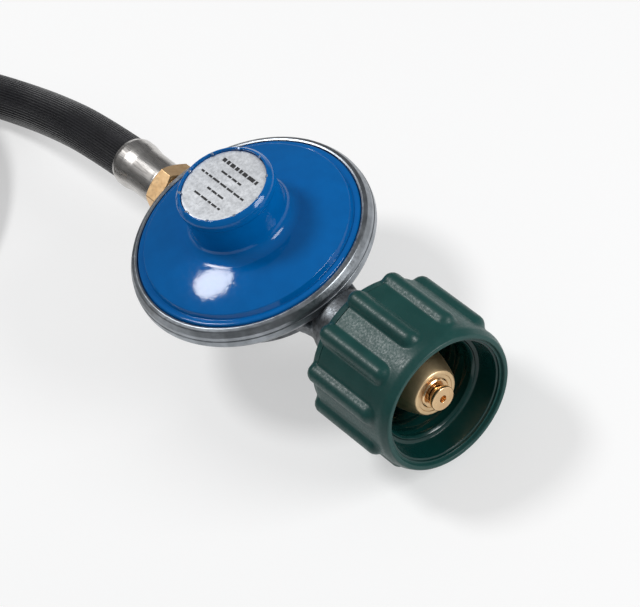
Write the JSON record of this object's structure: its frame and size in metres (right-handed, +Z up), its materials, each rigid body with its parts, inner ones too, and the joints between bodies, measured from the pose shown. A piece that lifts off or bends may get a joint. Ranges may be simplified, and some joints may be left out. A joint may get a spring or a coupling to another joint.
{
  "type": "propane regulator hose",
  "caption": "Low-pressure gas regulator with a domed bonnet, a ribbed hand-tightened cylinder nut and a coiled rubber hose with a crimped swivel end.",
  "frame": {"origin": "on the floor, midway between the coupling nut's mouth and the hose sleeve's mouth, under the bonnet's axis in y", "axes": "+Z up along the bonnet's axis, +X along the inlet towards the gas cylinder, hose leaving along -X"},
  "size_m": [0.3429, 0.2116, 0.063],
  "materials": {
    "zinc_casting": "rough die-cast zinc, dull",
    "blue_paint": "gloss blue enamel",
    "black_rubber": "moulded nitrile rubber",
    "seal_aluminium": "thin satin aluminium",
    "grey_plastic": "moulded plastic",
    "spring_steel": "drawn spring wire",
    "brass": "machined brass",
    "probe_brass": "turned bright brass",
    "sintered_bronze": "sintered bronze",
    "plated_steel": "zinc-plated steel",
    "ferrule_steel": "crimped stainless steel",
    "hose_rubber": "fluted black gas hose",
    "black_plastic": "heat-sensitive plastic",
    "green_plastic": "finely textured dark green nylon"
  },
  "bodies": {
    "root": {"body_casting": "zinc_casting", "bonnet": "blue_paint", "diaphragm": "black_rubber", "seal_disc": "seal_aluminium", "adjusting_screw": "grey_plastic", "main_spring": "spring_steel", "valve_orifice": "brass", "lever_bracket": "plated_steel", "lever_pin": "plated_steel", "inlet_nipple": "brass", "inlet_filter": "sintered_bronze", "probe_bush": "probe_brass", "probe_spring": "spring_steel", "outlet_fitting": "brass", "hose_ferrule": "ferrule_steel", "hose_root": "hose_rubber", "hose": "hose_rubber", "hose_coil": "hose_rubber", "end_ferrule": "ferrule_steel", "end_hose_root": "hose_rubber", "end_stem": "brass"},
    "diaphragm_centre": {"pan_upper": "plated_steel", "pan_lower": "plated_steel", "diaphragm_stem": "brass"},
    "lever": {"lever": "plated_steel"},
    "valve_seat": {"seat_holder": "brass", "seat_rubber": "black_rubber"},
    "probe": {"probe": "probe_brass"},
    "nut_carrier": {"thermal_bushing": "black_plastic"},
    "coupling": {"coupling_nut": "green_plastic"},
    "end_nut": {"end_swivel_nut": "brass"}
  },
  "joints": [
    {"name": "diaphragm_lift", "type": "slide", "parent": "root", "child": "diaphragm_centre", "axis": [0, 0, 1], "range_m": [-0.0015, 0], "deforming": ["main_spring", "diaphragm"]},
    {"name": "lever_swing", "type": "hinge", "parent": "root", "child": "lever", "pos_m": [0.0038, 0, 0.01798], "axis": [0, 1, 0], "range_deg": [-6.62, 0]},
    {"name": "valve_slide", "type": "slide", "parent": "root", "child": "valve_seat", "axis": [1, 0, 0], "range_m": [-0.00081, 0]},
    {"name": "probe_press", "type": "slide", "parent": "root", "child": "probe", "axis": [1, 0, 0], "range_m": [-0.0015, 0], "stiffness_N_per_m": 400, "springref_m": 0.002, "deforming": ["probe_spring"]},
    {"name": "nut_float", "type": "slide", "parent": "root", "child": "nut_carrier", "axis": [1, 0, 0], "range_m": [-0.0015, 0.0015]},
    {"name": "nut_spin", "type": "hinge", "parent": "nut_carrier", "child": "coupling", "pos_m": [0.0608, 0, 0.02498], "axis": [1, 0, 0], "continuous": true},
    {"name": "end_nut_spin", "type": "hinge", "parent": "root", "child": "end_nut", "pos_m": [-0.12586, -0.14842, 0.0262], "axis": [0.9397, 0.342, 0], "continuous": true}
  ],
  "couplings": [
    {"joint": "lever_swing", "follows": "diaphragm_lift", "rad_per_m": 76.923},
    {"joint": "valve_slide", "follows": "diaphragm_lift", "ratio": 0.53846}
  ]
}
